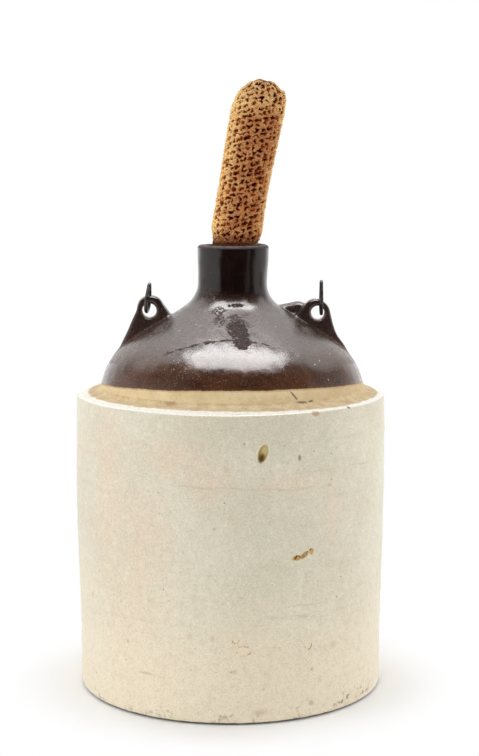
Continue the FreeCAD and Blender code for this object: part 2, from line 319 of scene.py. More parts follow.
def top_distance(points):
    """Signed distance to the whole top: dome, neck and bore, ears with their eyes, and the lump."""
    shifted = points - (TOP_OFFSET, 0, 0)
    radius = np.hypot(shifted[:, 0], shifted[:, 1])
    total = outline_distance(radius, shifted[:, 2], TOP_LINE, np.array([(0, TOP_LINE[0, 1])]))
    for side in (1, -1):
        near = side * shifted[:, 0] > 25
        ear_points = shifted[near] * (side, 1, 1)
        wobble = 0.35 * waves(ear_points, 16, 40 + side, 6)
        ear = slab_distance(ear_points, EAR_LINES[side], EAR_THICKNESS / 2, EAR_ROUND, 0) + wobble
        eye = ear_eye(side)
        from_eye = np.hypot(ear_points[:, 0] - eye[0], ear_points[:, 2] - eye[1])
        ear = smooth_max(ear, EYE_RADIUS - from_eye, EYE_BLEND)
        total[near] = smooth_min(total[near], ear, CLAY_BLEND)
    near = (shifted[:, 0] > 12) & (shifted[:, 1] > -6) & (shifted[:, 1] < 24)
    web = slab_distance(shifted[near], WEB_LINE, WEB_DEPTH / 2, WEB_ROUND, WEB_DEPTH / 2)
    total[near] = smooth_min(total[near], web + 0.3, CLAY_BLEND)
    return total


def pulled_to_surface(points, rounds=5):
    """Newton steps that bring mesh points onto the zero surface of the top's distance."""
    step = 0.02
    for _ in range(rounds):
        value = top_distance(points)
        slope = np.stack([(top_distance(points + axis) - value) / step
                          for axis in step * np.eye(3)], 1)
        move = value / np.maximum((slope ** 2).sum(1), 0.2)
        points = points - np.clip(move, -1.2, 1.2)[:, None] * slope
    return points


# ---- shader nodes

class Shader:
    """Short calls for building one material's node tree."""

    def __init__(self, name):
        self.material = bpy.data.materials.new(name)
        self.material.use_nodes = True
        self.tree = self.material.node_tree
        self.bsdf = self.tree.nodes["Principled BSDF"]
        self.place = self.node("TexCoord").outputs["Object"]
        self.x, self.y, self.z = self.node("SeparateXYZ", Vector=self.place).outputs

    def node(self, kind, **inputs):
        made = self.tree.nodes.new("ShaderNode" + kind)
        for key, value in inputs.items():
            self.plug(made.inputs[key.replace("_", " ")], value)
        return made

    def plug(self, socket, value):
        if isinstance(value, bpy.types.NodeSocket):
            self.tree.links.new(value, socket)
        else:
            socket.default_value = value

    def math(self, operation, first, second=0.0, clamp=False):
        made = self.node("Math")
        made.operation = operation
        made.use_clamp = clamp
        self.plug(made.inputs[0], first)
        self.plug(made.inputs[1], second)
        return made.outputs[0]

    def chain(self, operation, first, *others):
        for other in others:
            first = self.math(operation, first, other)
        return first

    def times(self, *values):
        return self.chain("MULTIPLY", *values)

    def plus(self, *values):
        return self.chain("ADD", *values)

    def minus(self, first, second):
        return self.math("SUBTRACT", first, second)

    def most(self, *values):
        return self.chain("MAXIMUM", *values)

    def length(self, vector):
        made = self.node("VectorMath", Vector=vector)
        made.operation = "LENGTH"
        return made.outputs["Value"]

    def centred(self, noise, reach):
        """Noise about zero, spread over the given reach."""
        return self.times(self.minus(noise, 0.5), reach)

    def blots(self, low, high, *noise, **where):
        """Noise cut smoothly between two levels."""
        return self.span(self.noise(*noise, **where), low, high)

    def tint(self, base, mask, strength, screen_colour):
        """The base colour, moved towards a 0-255 screen colour where the mask is."""
        return self.mix(self.times(mask, strength), base, screen_colour)

    def scaled(self, sizes, shift=(0, 0, 0)):
        """Object coordinates measured in the given sizes, in millimetres."""
        origin = [-s / size for s, size in zip(shift, sizes)]
        scale = [1 / (size * MM) for size in sizes]
        return self.node("Mapping", Vector=self.place, Location=origin, Scale=scale).outputs[0]

    def noise(self, size, detail=3.0, rough=0.55, stretch=(1, 1, 1), shift=(0, 0, 0)):
        vector = self.scaled([size * s for s in stretch], shift)
        made = self.node("TexNoise", Vector=vector, Scale=1.0, Detail=detail, Roughness=rough)
        return made.outputs["Fac"]

    def cells(self, size):
        """Distance from the nearest of scattered points, as a share of the cells' size."""
        made = self.node("TexVoronoi", Vector=self.scaled([size] * 3), Scale=1.0)
        return made.outputs["Distance"]

    def span(self, value, low, high, to_low=0.0, to_high=1.0):
        """Smooth step from low to high."""
        made = self.node("MapRange", Value=value)
        made.interpolation_type = "SMOOTHSTEP"
        for socket, number in zip(made.inputs[1:5], (low, high, to_low, to_high)):
            self.plug(socket, number)
        return made.outputs[0]

    def mix(self, share, first, second):
        """Mix of two colours; a tuple is a 0-255 screen colour."""
        made = self.node("Mix")
        made.data_type = "RGBA"
        self.plug(made.inputs[0], share)
        for socket, colour in ((made.inputs[6], first), (made.inputs[7], second)):
            self.plug(socket, srgb(*colour) if isinstance(colour, tuple) else colour)
        return made.outputs[2]

    def blend(self, share, first, second):
        """Mix of two numbers."""
        made = self.node("Mix")
        self.plug(made.inputs[0], share)
        self.plug(made.inputs[2], first)
        self.plug(made.inputs[3], second)
        return made.outputs[0]

    def spot(self, centre, radii, turn=(0, 0, 0), rough=0.25, size=1.5, edge=0.25):
        """Mask of an uneven ellipsoid: 1 inside, 0 outside. Everything in millimetres."""
        made = self.node("Mapping", Vector=self.place, Location=[c * MM for c in centre],
                         Rotation=turn, Scale=[r * MM for r in radii])
        made.vector_type = "TEXTURE"
        far = self.length(made.outputs[0])
        ragged = self.centred(self.noise(size), 2 * rough)
        return self.span(self.plus(far, ragged), 1 - edge, 1 + edge, 1.0, 0.0)

    def wall_spot(self, centre, radii, facing, rough, size, edge, roll=0.0, deep=3):
        """Uneven oval on the body's wall, centred at an angle and height and turned to face an angle."""
        wide, tall = radii
        return self.spot(on_body(*centre), (wide, deep, tall), across_wall(facing, roll), rough, size, edge)

    def mark(self, name):
        """Mask stored on the mesh under this name."""
        made = self.node("Attribute")
        made.attribute_name = name
        return made.outputs["Fac"]

    def bump(self, height, strength, distance, under=None):
        made = self.node("Bump", Height=height, Strength=strength, Distance=distance * MM)
        if under is not None:
            self.plug(made.inputs["Normal"], under)
        return made.outputs[0]

    def finish(self, colour, roughness, normal, **fixed):
        self.plug(self.bsdf.inputs["Base Color"], colour)
        self.plug(self.bsdf.inputs["Roughness"], roughness)
        self.plug(self.bsdf.inputs["Normal"], normal)
        for key, value in fixed.items():
            self.bsdf.inputs[key.replace("_", " ")].default_value = value
        return self.material


def on_body(angle, height):
    """Point on the body's wall at an angle from the front, in degrees towards +X."""
    turn = math.radians(angle)
    radius = wall_radius(height)
    return (radius * math.sin(turn), -radius * math.cos(turn), height)


def across_wall(angle, roll=0.0):
    """Rotation that lines up X along the wall and Z up it, rolled about the wall's normal."""
    return (0.0, math.radians(roll), math.radians(angle))


def wall_radius(height):
    """Radius of the body's wall at a height."""
    line = wall_line()
    return float(np.interp(height, line[:, 1], line[:, 0]))


def wall_line():
    """Fired wall: straight above the foot, a slight belly, and drawn in a touch at the corner."""
    belly = bezier([(FOOT_RADIUS + 0.1, 0.20 * BODY_HEIGHT),
                    (FOOT_RADIUS + 1.0, 0.43 * BODY_HEIGHT),
                    (SHOULDER_RADIUS + 1.6, 0.69 * BODY_HEIGHT),
                    (SHOULDER_RADIUS, BODY_HEIGHT)])
    return np.concatenate([[(FOOT_RADIUS, 0)], belly])


# ---- marks on the fired body: angle from the front, height

IRON_ANGLE = 11.4
IRON_SPOT = (IRON_ANGLE, 152.4)
SMALL_SPOT = (24.7, 149.0)
CHIPS = [(2.0, 48.4, 1.5, 1.5), (4.9, 42.2, 3.6, 2.4), (29.0, 43.0, 2.0, 2.8)]
PINK_CLOUDS = [(-48, 120, 14, 62), (-30, 100, 17, 30), (-9, 139, 13, 14), (-38, 60, 20, 30), (38, 118, 5, 20),
               (-20, 150, 16, 12), (16, 28, 26, 14), (-28, 30, 22, 16), (38, 38, 10, 7), (22, 135, 20, 5)]
GREEN_CLOUDS = [(4, 165, 46, 9), (8, 118, 22, 18), (16, 160, 16, 12), (12, 80, 24, 12), (34, 150, 10, 14)]
WALL_LINES = [(143.1, 46, 30, 0.8), (133.3, 4, 44, 1.3), (67.2, 34, 22, 0.7), (60.6, 26, 20, 1.7)]
LINE_TILT = 0.038  # the lines thrown in the wall drop a little to the right
STAINS = [(-39.7, 42.1, 0.9, 1.0, 0.7), (-14.3, 49.7, 1.5, 1.5, 0.3), (-6.1, 49.2, 1.2, 1.6, 0.4),
          (-1.0, 143.7, 1.4, 1.4, 0.3), (-31.6, 25.6, 4.0, 0.7, 0.6), (1.2, 30.5, 1.6, 0.8, 0.5),
          (30.7, 28.0, 0.7, 0.7, 0.8), (30.4, 8.6, 1.5, 1.2, 0.8), (10.8, 6.9, 3.6, 1.7, 0.5),
          (40.2, 39.9, 2.2, 1.6, 0.4), (-61.2, 62.1, 0.8, 1.8, 0.7), (-55.1, 77.9, 0.6, 0.9, 0.6),
          (-42.6, 64.1, 0.6, 0.6, 0.7), (62.8, 55.3, 0.7, 1.0, 0.6), (4.1, 72.4, 0.9, 0.6, 0.5),
          (-5.3, 111.1, 0.8, 0.6, 0.6), (37.1, 132.0, 1.4, 0.7, 0.6), (38.0, 135.0, 0.5, 0.5, 1.0),
          (19.1, 156.2, 0.5, 0.5, 0.8), (-25.0, 118.0, 0.6, 0.6, 0.5), (12.0, 20.0, 0.8, 0.7, 0.5)]
BAND_CRACK = [((35.5, -68.8, 181.0), (3.3, 4, 0.6), 51), ((39.8, -67.4, 177.3), (3.2, 4, 0.6), 4),
              ((44.6, -64.4, 177.5), (1.7, 4, 0.6), -6)]
BAND_SMEAR = (-32.4, -70.8, 176.9)
BAND_RADIUS = 0.0869  # inner edge of the painted highlight along the corner, in metres
BAND_NARROWS = 0.0028  # and how far it moves in on the left


def band_marks(s, bare):
    """Crack and smear that run over the tan band on to the ledge."""
    for centre, radii, roll in BAND_CRACK:
        crack = s.spot(centre, radii, across_wall(30, roll), 0.9, 0.9, 0.4)
        bare = s.tint(bare, crack, 0.8, (88, 60, 36))
    smear = s.spot(BAND_SMEAR, (3.4, 5, 1.1), (0, 0, 0), 0.8, 1.2, 0.5)
    return s.tint(bare, smear, 0.7, (152, 112, 64))


def cream_material():
    """Bristol-glazed stoneware: cream with pinkish clouds, fine specks, pits and old marks, with a painted
    highlight along the ledge's corner, painted bounce light low on the wall and a painted contact shadow at
    the foot.
    """
    s = Shader("cream_glaze")
    clouds = s.blots(0.40, 0.64, 40, 4)
    pale = s.mix(clouds, (213, 207, 187), (208, 200, 179))
    pink = s.times(s.blots(0.50, 0.70, 34, 5, stretch=(1.4, 1.4, 0.8), shift=(7, 3, 1)), 0.5)
    pink = s.most(pink, s.mark("pink"))
    pink = s.times(pink, s.span(s.noise(3.2, 4, 0.65), 0.30, 0.62, 0.35, 1.0))
    pale = s.tint(pale, pink, 0.62, (222, 199, 176))
    green = s.times(s.blots(0.52, 0.70, 30, 4, shift=(1, 8, 5)), 0.4)
    green = s.most(green, s.mark("green"))
    pale = s.tint(pale, green, 0.5, (200, 196, 174))
    # Painted light: the wall paler towards the foot, in place of light bounced up from the floor.
    low = s.span(s.z, 0.100, 0.012)
    pale = s.tint(pale, low, 0.75, (230, 216, 190))
    fine = s.noise(1.0, 4, 0.8)
    pale = s.tint(pale, s.span(fine, 0.50, 0.66), 0.42, (168, 156, 128))
    pale = s.tint(pale, s.span(fine, 0.48, 0.34), 0.42, (240, 233, 214))
    mottle = s.noise(4.5, 4, 0.7)
    pale = s.tint(pale, s.span(mottle, 0.50, 0.68), 0.20, (180, 166, 138))
    pale = s.tint(pale, s.span(mottle, 0.46, 0.30), 0.25, (240, 233, 216))

    waver = s.centred(s.noise(22, 3), 0.0030)
    level = s.plus(s.z, waver, s.times(s.x, LINE_TILT))
    ragged = s.blots(0.42, 0.62, 3.0, 4, 0.7, stretch=(4, 4, 0.6))
    for height, angle, wide, thick in WALL_LINES:
        off = s.math("ABSOLUTE", s.minus(level, height * MM))
        line = s.span(off, 1.2 * thick * MM, 0.0)
        along = s.wall_spot((angle, height), (wide, 8), angle, 0.4, 10, 0.4, deep=30)
        line = s.times(line, along, ragged)
        pale = s.tint(pale, line, 0.42, (190, 162, 126))
    throwing = s.noise(7, 3, 0.6, stretch=(16, 16, 0.5))
    pale = s.tint(pale, s.span(throwing, 0.58, 0.72), 0.14, (184, 168, 140))

    speck = s.times(s.span(s.cells(2.2), 0.17, 0.07), s.blots(0.47, 0.60, 7, 2))
    pale = s.tint(pale, speck, 0.5, (134, 118, 92))
    big = s.times(s.span(s.cells(8.0), 0.075, 0.03), s.blots(0.48, 0.58, 18, 2))
    pale = s.tint(pale, big, 0.8, (84, 70, 50))
    for angle, height, wide, tall, strength in STAINS:
        stain = s.wall_spot((angle, height), (wide, tall), angle, 1.1, 1.0, 0.7)
        pale = s.tint(pale, stain, 0.62 * strength, (150, 112, 72))

    halo = s.wall_spot(IRON_SPOT, (3.6, 6.0), IRON_ANGLE, 0.1, 2, 0.25, roll=17)
    oval = s.wall_spot(IRON_SPOT, (2.6, 4.9), IRON_ANGLE, 0.08, 2, 0.16, roll=17)
    inner = s.wall_spot((11.9, 153.6), (1.7, 3.3), IRON_ANGLE, 0.10, 2, 0.5, roll=17)
    core = s.wall_spot((10.9, 150.0), (1.5, 2.6), IRON_ANGLE, 0.20, 1, 0.6, roll=17)
    pale = s.tint(pale, halo, 0.4, (226, 216, 182))
    pale = s.mix(oval, pale, (150, 122, 58))
    pale = s.mix(inner, pale, (190, 170, 118))
    pale = s.mix(core, pale, (84, 52, 8))
    dot = s.wall_spot(SMALL_SPOT, (0.9, 1.6), 25, 0.2, 1, 0.5)
    pale = s.tint(pale, dot, 0.8, (126, 112, 70))

    worm = s.wall_spot((24.0, 93.2), (2.9, 1.5), 25, 0.45, 1.3, 0.2, roll=-8)
    worm_middle = s.wall_spot((26.9, 94.4), (2.8, 1.4), 28, 0.45, 1.1, 0.25, roll=-35)
    hook = s.wall_spot((29.6, 96.0), (1.5, 1.7), 31, 0.3, 1.2, 0.2)
    hollow = s.wall_spot((29.2, 95.7), (0.7, 0.8), 31, 0.3, 1.2, 0.3)
    trail = s.most(worm, worm_middle, hook)
    trail_colour = s.mix(s.blots(0.40, 0.60, 1.5, 3), (196, 158, 84), (112, 66, 16))
    trail_colour = s.tint(trail_colour, worm_middle, 0.6, (160, 138, 76))
    trail_colour = s.mix(hollow, trail_colour, (206, 172, 104))
    halo = s.wall_spot((26.8, 94.2), (7.4, 2.6), 27, 0.3, 3, 0.3, roll=-20)
    pale = s.tint(pale, halo, 0.25, (228, 206, 170))
    pale = s.mix(trail, pale, trail_colour)

    scars = None
    for angle, height, wide, tall in CHIPS:
        outer = s.wall_spot((angle, height), (wide + 1.6, tall + 1.6), angle, 0.3, 1.5, 0.35)
        inner = s.wall_spot((angle, height), (wide, tall), angle, 0.22, 1.5, 0.10)
        edge = s.wall_spot((angle, height), (wide + 0.45, tall + 0.45), angle, 0.22, 1.5, 0.10)
        edge = s.math("SUBTRACT", edge, inner, clamp=True)
        edge = s.times(edge, s.blots(0.45, 0.55, 3.4, 2, shift=(wide, tall, 0)))
        pale = s.tint(pale, outer, 0.30, (222, 196, 164))
        pale = s.tint(pale, inner, 0.42, (230, 218, 192))
        pale = s.tint(pale, edge, 0.85, (112, 84, 54))
        scars = inner if scars is None else s.most(scars, inner)

    pits = s.times(s.blots(0.53, 0.61, 3.2, 3, 0.6), s.span(s.z, 0.016, 0.003))
    cluster = s.wall_spot((52.5, 6.3), (19, 4.5), 52, 0.4, 6, 0.5, deep=30)
    elsewhere = s.times(s.blots(0.5, 0.62, 16, 2, shift=(4, 4, 4)), 0.5)
    pits = s.times(pits, s.most(cluster, elsewhere))
    pale = s.tint(pale, pits, 0.8, (92, 80, 62))
    # Painted contact shadow: a dark, uneven line along the lowest millimetre of the foot.
    contact_shadow = s.plus(s.z, s.centred(s.noise(7, 3), 0.0012))
    pale = s.mix(s.span(contact_shadow, 0.0013, 0.0008), pale, (74, 62, 46))

    ledge = s.span(s.z, (BODY_HEIGHT + 0.1) * MM, (BODY_HEIGHT + 0.7) * MM)
    tan = s.mix(s.blots(0.35, 0.7, 7, 4, 0.6), (216, 194, 150), (194, 166, 120))
    tan = s.tint(tan, s.blots(0.52, 0.70, 1.3, 3, 0.7), 0.5, (160, 132, 96))
    # Painted highlight: a near-white line along the ledge's outer corner, widest on the left.
    around = s.length(s.node("CombineXYZ", X=s.x, Y=s.y).outputs[0])
    ledge_wander = s.centred(s.noise(6, 3), 0.0030)
    reach = s.plus(around, ledge_wander)
    left = s.span(s.x, 0.060, -0.020)
    inner_edge = s.minus(BAND_RADIUS, s.times(left, BAND_NARROWS))
    pale_rim = s.span(s.minus(reach, inner_edge), -0.0006, 0.0006)
    corner = s.times(pale_rim, s.span(s.z, (BODY_HEIGHT - 0.7) * MM, (BODY_HEIGHT - 0.2) * MM))
    pale = s.mix(ledge, pale, tan)
    pale = s.mix(s.times(corner, s.span(s.noise(2.2, 3), 0.62, 0.50, 0.7, 1.0)), pale, (255, 252, 242))
    pale = band_marks(s, pale)
    rim_dot = s.wall_spot((47.5, 173.6), (1.3, 0.8), 47, 0.3, 1, 0.3, deep=2.4)
    rim_spot = s.wall_spot((31.2, 172.6), (2.3, 1.4), 31, 0.35, 1.4, 0.4, deep=2.4)
    pale = s.tint(pale, rim_spot, 0.7, (168, 126, 82))
    pale = s.mix(rim_dot, pale, (50, 34, 22))

    pores = s.span(s.cells(1.3), 0.22, 0.05)
    bump = s.bump(s.noise(18, 3, stretch=(1, 1, 0.6)), 0.25, 0.6)
    bump = s.bump(s.noise(1.1, 3, 0.6), 0.22, 0.10, bump)
    bump = s.bump(s.times(pores, s.blots(0.5, 0.7, 6)), 0.5, -0.12, bump)
    bump = s.bump(s.most(trail, oval), 0.7, 0.25, bump)
    rough = s.blend(s.span(fine, 0.3, 0.7), 0.36, 0.48)
    rough = s.blend(s.most(scars, ledge), rough, 0.72)
    return s.finish(pale, rough, bump, Specular_IOR_Level=0.5)


# ---- marks on the dome, in millimetres

DRIPS = [((4.6, -43.5, 215.0), (6.3, 9.5, 6), 3), ((7.2, -53.0, 209.0), (4.9, 7.0, 5), 0)]
THIN_DRIPS = [((2.5, -35.5, 219.6), (7.6, 5.0, 6), 0), ((-6.2, -34.5, 220.2), (3.6, 7.0, 5), 0),
              ((-7.0, -27.5, 224.2), (4.4, 3.4, 4), 0), ((-38.7, -16.4, 215.6), (5.0, 8.0, 3), 0),
              ((-12.0, -17.4, 233.0), (4.4, 7, 2.2), 0)]
NECK_SMUDGE = ((3.7, -24.8, 227.3), (4.6, 4, 1.1))
FAULT_HEIGHT = 210.0
FAULT_SAG = 7.2  # how steeply the fault line drops away to the sides, and
FAULT_LEVELS = 204.0  # how soon it levels out, both for metres
DRIP_SLOPE = math.radians(32)
GLAZE_EDGE = 0.1802  # height of the glaze's edge on the axis, in metres, and its tilts
GLAZE_TILT_X = 0.0065
GLAZE_TILT_Y = -0.059


def dome_spots(s, spots, rough, size, edge):
    """Mask of several spots that lie on the dome's slope."""
    mask = None
    for centre, radii, roll in spots:
        spot = s.spot(centre, radii, (DRIP_SLOPE, 0, math.radians(roll)), rough, size, edge)
        mask = spot if mask is None else s.most(mask, spot)
    return mask


def top_material():
    """Dark brown slip glaze over the dome, down to a tilted edge, and a bare tan band below, with a painted
    reflection on the walls inside the ears' eyes.
    """
    s = Shader("brown_glaze")
    wander = s.centred(s.noise(16, 3), 0.0012)
    fray = s.centred(s.noise(1.6, 3), 0.0007)
    tilt = s.plus(s.times(s.y, GLAZE_TILT_Y), s.times(s.x, GLAZE_TILT_X))
    edge_z = s.plus(tilt, GLAZE_EDGE, wander, fray)
    above = s.minus(s.z, edge_z)
    glazed = s.span(above, -0.00015, 0.00025)

    body = s.mix(s.blots(0.36, 0.68, 20, 4, 0.6), (60, 34, 22), (81, 47, 29))
    upper = s.span(s.z, 0.196, 0.212)
    body = s.tint(body, upper, 0.7, (58, 42, 38))
    grain = s.noise(0.8, 4, 0.75)
    body = s.tint(body, s.span(grain, 0.52, 0.68), 0.6, (126, 92, 66))
    body = s.tint(body, s.span(grain, 0.47, 0.30), 0.8, (28, 14, 9))
    dust = s.times(s.span(s.cells(1.3), 0.30, 0.12), s.blots(0.42, 0.58, 4, 3))
    left = s.span(s.x, 0.030, -0.045, 0.45, 1.0)
    dust = s.times(dust, left)
    body = s.tint(body, dust, 0.42, (178, 160, 140))
    rare = s.times(s.span(s.cells(6), 0.10, 0.05), s.blots(0.50, 0.56, 9, 2))
    body = s.mix(rare, body, (214, 196, 170))
    neck = s.mix(s.blots(0.4, 0.7, 9, 4), (10, 2, 2), (22, 9, 7))
    on_neck = s.span(s.z, 0.226, 0.236)
    body = s.mix(s.times(on_neck, 0.93), body, neck)
    lip = s.span(s.z, 0.2588, 0.2600)
    # The lip's rim, worn to a pinkish brown.
    pale_rim = s.times(s.span(s.z, 0.2598, 0.2606), s.span(s.noise(2.5, 3), 0.40, 0.60, 0.1, 0.7))
    body = s.mix(pale_rim, body, (116, 82, 70))
    side = s.math("ABSOLUTE", s.minus(s.x, TOP_OFFSET * MM))
    on_ears = s.times(s.span(side, 0.036, 0.042), s.span(s.z, 0.202, 0.214))
    upright = s.times(on_ears, s.span(s.math("ABSOLUTE", s.y), 0.0065, 0.0048))
    body = s.tint(body, upright, 0.6, (42, 25, 21))
    thin = s.span(above, 0.0022, 0.0002)
    body = s.tint(body, thin, 0.6, (92, 56, 30))

    drip = dome_spots(s, DRIPS, 0.7, 3.0, 0.12)
    thin = dome_spots(s, THIN_DRIPS, 0.8, 2.4, 0.3)
    holes = s.blots(0.47, 0.53, 1.5, 3, 0.7, shift=(6, 2, 4))
    drip = s.most(drip, s.times(thin, holes))
    centre, radii = NECK_SMUDGE
    drip = s.most(drip, s.spot(centre, radii, (0, 0, 0), 1.0, 1.6, 0.3))
    # Painted reflection: the walls inside the ears' eyes tinted a pale grey-brown.
    for side in (1, -1):
        eye = ear_eye(side)
        centre, reach = (TOP_OFFSET + side * eye[0], 0, eye[1]), EYE_RADIUS + 0.9
        inside = s.spot(centre, (reach, 14, reach), (0, 0, 0), 0.15, 2.0, 0.08)
        body = s.tint(body, inside, 0.6, (146, 122, 104))
    crust = s.mix(s.blots(0.44, 0.60, 1.5, 4, 0.7), (26, 11, 8), (74, 40, 28))
    crust = s.tint(crust, s.span(s.cells(1.8), 0.24, 0.10), 0.5, (180, 156, 136))
    body = s.mix(drip, body, crust)

    aside = s.minus(s.x, TOP_OFFSET * MM)
    squared = s.times(aside, aside)
    drop = s.math("DIVIDE", s.times(squared, FAULT_SAG), s.plus(s.times(squared, FAULT_LEVELS), 1.0))
    jitter = s.centred(s.noise(2.5, 3), 0.0014)
    off = s.minus(s.plus(s.z, drop, jitter), FAULT_HEIGHT * MM)
    lumps = s.times(s.blots(0.48, 0.62, 3.4, 2, shift=(5, 1, 1)), s.span(aside, 0.0, -0.012))
    width = s.plus(s.times(lumps, 0.0009), 0.0006)
    fault = s.span(s.math("DIVIDE", s.math("ABSOLUTE", off), width), 1.0, 0.35)
    fault = s.times(fault, s.span(s.y, -0.034, -0.042), s.span(aside, 0.034, 0.022),
                    s.span(aside, -0.044, -0.036), s.blots(0.36, 0.50, 5, 3, shift=(3, 3, 3)))
    body = s.tint(body, fault, 0.92, (48, 27, 18))

    bare = s.mix(s.blots(0.36, 0.7, 9, 4, 0.6), (222, 201, 156), (208, 182, 136))
    bare = s.tint(bare, s.blots(0.5, 0.75, 1.2, 4, 0.7), 0.5, (172, 142, 100))
    right = s.span(s.x, 0.02, 0.07)
    bare = s.tint(bare, right, 0.5, (176, 146, 102))
    bare = band_marks(s, bare)
    under = s.span(above, -0.0013, -0.0002)
    bare = s.tint(bare, under, 0.6, (160, 124, 74))
    colour = s.mix(glazed, bare, body)

    bump = s.bump(s.noise(15, 3), 0.22, 0.8)
    bump = s.bump(s.noise(2.6, 3, 0.5), 0.22, 0.22, bump)
    bump = s.bump(grain, 0.45, 0.085, bump)
    bump = s.bump(dust, 0.3, 0.08, bump)
    bump = s.bump(glazed, 0.6, 0.25, bump)
    bump = s.bump(s.times(drip, s.noise(1.2, 3)), 0.6, 0.22, bump)
    shine = s.blend(s.blots(0.36, 0.68, 3, 4, 0.65), 0.14, 0.24)
    dusty = s.times(s.span(off, -0.0004, 0.0008), s.span(s.z, 0.2262, 0.2238))
    shine = s.blend(dusty, shine, s.blend(s.blots(0.40, 0.62, 2.2, 3, 0.6), 0.26, 0.40))
    shine = s.blend(on_neck, shine, 0.13)
    shine = s.blend(lip, shine, 0.8)
    lump = s.times(s.span(s.y, 0.002, 0.006), s.span(s.z, 0.2120, 0.2150))
    lump = s.times(lump, s.span(s.x, 0.026, 0.030))
    shine = s.blend(lump, shine, 0.7)
    shine = s.blend(s.most(drip, fault), shine, 0.95)
    rough = s.blend(glazed, 0.66, shine)
    return s.finish(colour, rough, bump, IOR=1.6)


def wire_material():
    """Dark, hand-bent iron wire with a dull sheen and traces of rust."""
    s = Shader("iron_wire")
    colour = s.mix(s.blots(0.4, 0.7, 3, 4), (58, 56, 52), (112, 108, 102))
    colour = s.mix(s.blots(0.60, 0.72, 1.4, 3, shift=(3, 1, 2)), colour, (96, 66, 44))
    bump = s.bump(s.noise(0.8, 3, 0.7), 0.4, 0.08)
    rough = s.blend(s.blots(0.4, 0.7, 2, 3), 0.30, 0.48)
    return s.finish(colour, rough, bump, Metallic=0.7)


def cob_material():
    """Dry cob: pale chaff on the ridges, orange-brown flanks and dark sockets, with painted shade down its
    front, painted light on its paler top and a painted shadow where it enters the mouth.
    """
    s = Shader("corn_cob")
    deep = s.mark("socket")
    tan = s.mix(s.blots(0.36, 0.68, 7, 4, 0.6), (255, 210, 132), (242, 170, 94))
    tan = s.tint(tan, s.blots(0.50, 0.58, 0.9, 4, 0.8), 0.85, (255, 216, 140))
    tan = s.tint(tan, s.blots(0.50, 0.60, 1.0, 4, 0.8, shift=(4, 8, 1)), 0.85, (138, 62, 26))
    # Paler towards the top: the torn end's pale chaff, and painted light from above.
    tip = s.span(s.z, 0.322, 0.350)
    tan = s.tint(tan, tip, 0.3, (255, 222, 150))
    # Painted shade: the cob's front darker and redder (the mask stored as bare), less so near the top.
    bare = s.times(s.mark("bare"), s.span(tip, 0.2, 1.0, 1.0, 0.5))
    tan = s.tint(tan, bare, 0.82, (150, 62, 24))
    base = s.times(s.span(s.z, 0.270, 0.264), 0.8)
    tan = s.mix(base, tan, (116, 54, 32))
    # Painted shadow: near-black where the cob goes into the mouth.
    tan = s.mix(s.span(s.z, 0.2640, 0.2622, 0.0, 0.8), tan, (44, 20, 14))
    pale = s.times(s.mark("chaff"), s.blots(0.36, 0.54, 0.9, 3, 0.7, shift=(2, 2, 9)))
    # Less pale chaff where the painted shade on the front lies.
    pale = s.times(pale, s.span(bare, 0.0, 1.0, 1.0, 0.4))
    tan = s.mix(pale, tan, (255, 240, 192))
    colour = s.mix(s.span(deep, 0.08, 0.40), tan, (146, 66, 24))
    colour = s.mix(s.span(deep, 0.40, 0.85), colour, (62, 18, 5))
    bump = s.bump(s.noise(0.8, 4, 0.75), 0.8, 0.40)
    bump = s.bump(s.noise(0.35, 2, 0.6, stretch=(1, 1, 2.5)), 0.5, 0.14, bump)
    return s.finish(colour, 0.9, bump, Specular_IOR_Level=0.08)


# ---- the jug's body

BODY_COLUMNS = 440


def body_rows():
    """Outline of the body from the middle of the foot to under the dome: radius, height, offset."""
    rows = [(r, 0.0, 0.0) for r in (0.5, 30, 60, 80, 87)]
    foot = arc((FOOT_RADIUS - FOOT_ROUND, FOOT_ROUND), FOOT_ROUND, -90, 0, 6)
    rows += [(r, z, 0.0) for r, z in foot]
    wall = np.linspace(FOOT_ROUND + 1, BODY_HEIGHT - CORNER_ROUND - 0.8, 140)
    rows += [(wall_radius(z), z, 0.0) for z in wall]
    slope = math.degrees(math.atan2(LEDGE_RISE, LEDGE_WIDTH))
    corner = arc((SHOULDER_RADIUS - CORNER_ROUND, BODY_HEIGHT - CORNER_ROUND), CORNER_ROUND, 0, 90 - slope, 7)
    rows += [(r, z, 0.0) for r, z in corner]
    start, end = corner[-1], np.array([DOME_FOOT_RADIUS + 1.9, DOME_FOOT_Z - 0.35])
    for share in np.linspace(0.12, 1, 8):
        r, z = start + (end - start) * share
        rows.append((r, z, TOP_OFFSET * smooth(share)))
    fillet = arc((DOME_FOOT_RADIUS + 1.9, DOME_FOOT_Z + 1.7), 1.9, -100, -185, 6)
    rows += [(r, z, TOP_OFFSET) for r, z in fillet]
    rows += [(DOME_FOOT_RADIUS - 2.0, DOME_FOOT_Z + 1.9, TOP_OFFSET)]
    rows += [(r, DOME_FOOT_Z - 3, TOP_OFFSET) for r in (70, 40, 0.5)]
    return np.array(rows, float)


def far_on_wall(angle, tall, mark):
    """How far wall points lie from a mark (angle, height, half width, half height), in its sizes."""
    where, high, wide, tall_size = mark
    return np.hypot((angle - where) * math.radians(1) * FOOT_RADIUS / wide, (tall - high) / tall_size)


